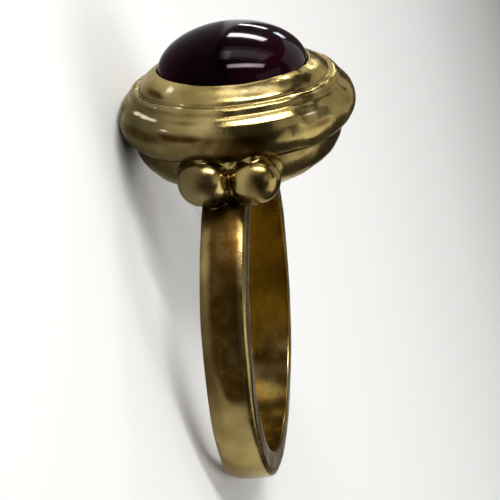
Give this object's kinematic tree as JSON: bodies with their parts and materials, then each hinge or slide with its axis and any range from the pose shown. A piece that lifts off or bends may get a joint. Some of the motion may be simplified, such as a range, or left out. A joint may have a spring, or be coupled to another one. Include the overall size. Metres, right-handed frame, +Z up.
{
  "type": "finger ring",
  "caption": "Gold finger ring with a round stepped bezel head, a domed dark red stone and paired granules on its shoulders, lying on its side.",
  "frame": {"origin": "on the table under the middle of the ring's bounding box, with the ring lying on its side", "axes": "+Z up from the table, -Y towards the stone, +X across the band; the finger hole's axis leans 13 degrees from +Z towards +Y"},
  "size_m": [0.02, 0.0264, 0.0129],
  "materials": {
    "gold": "polished and worn yellow gold",
    "garnet": "polished dark purple-red cabochon"
  },
  "bodies": {
    "root": {"ring_body": "gold", "stone": "garnet"}
  },
  "joints": []
}
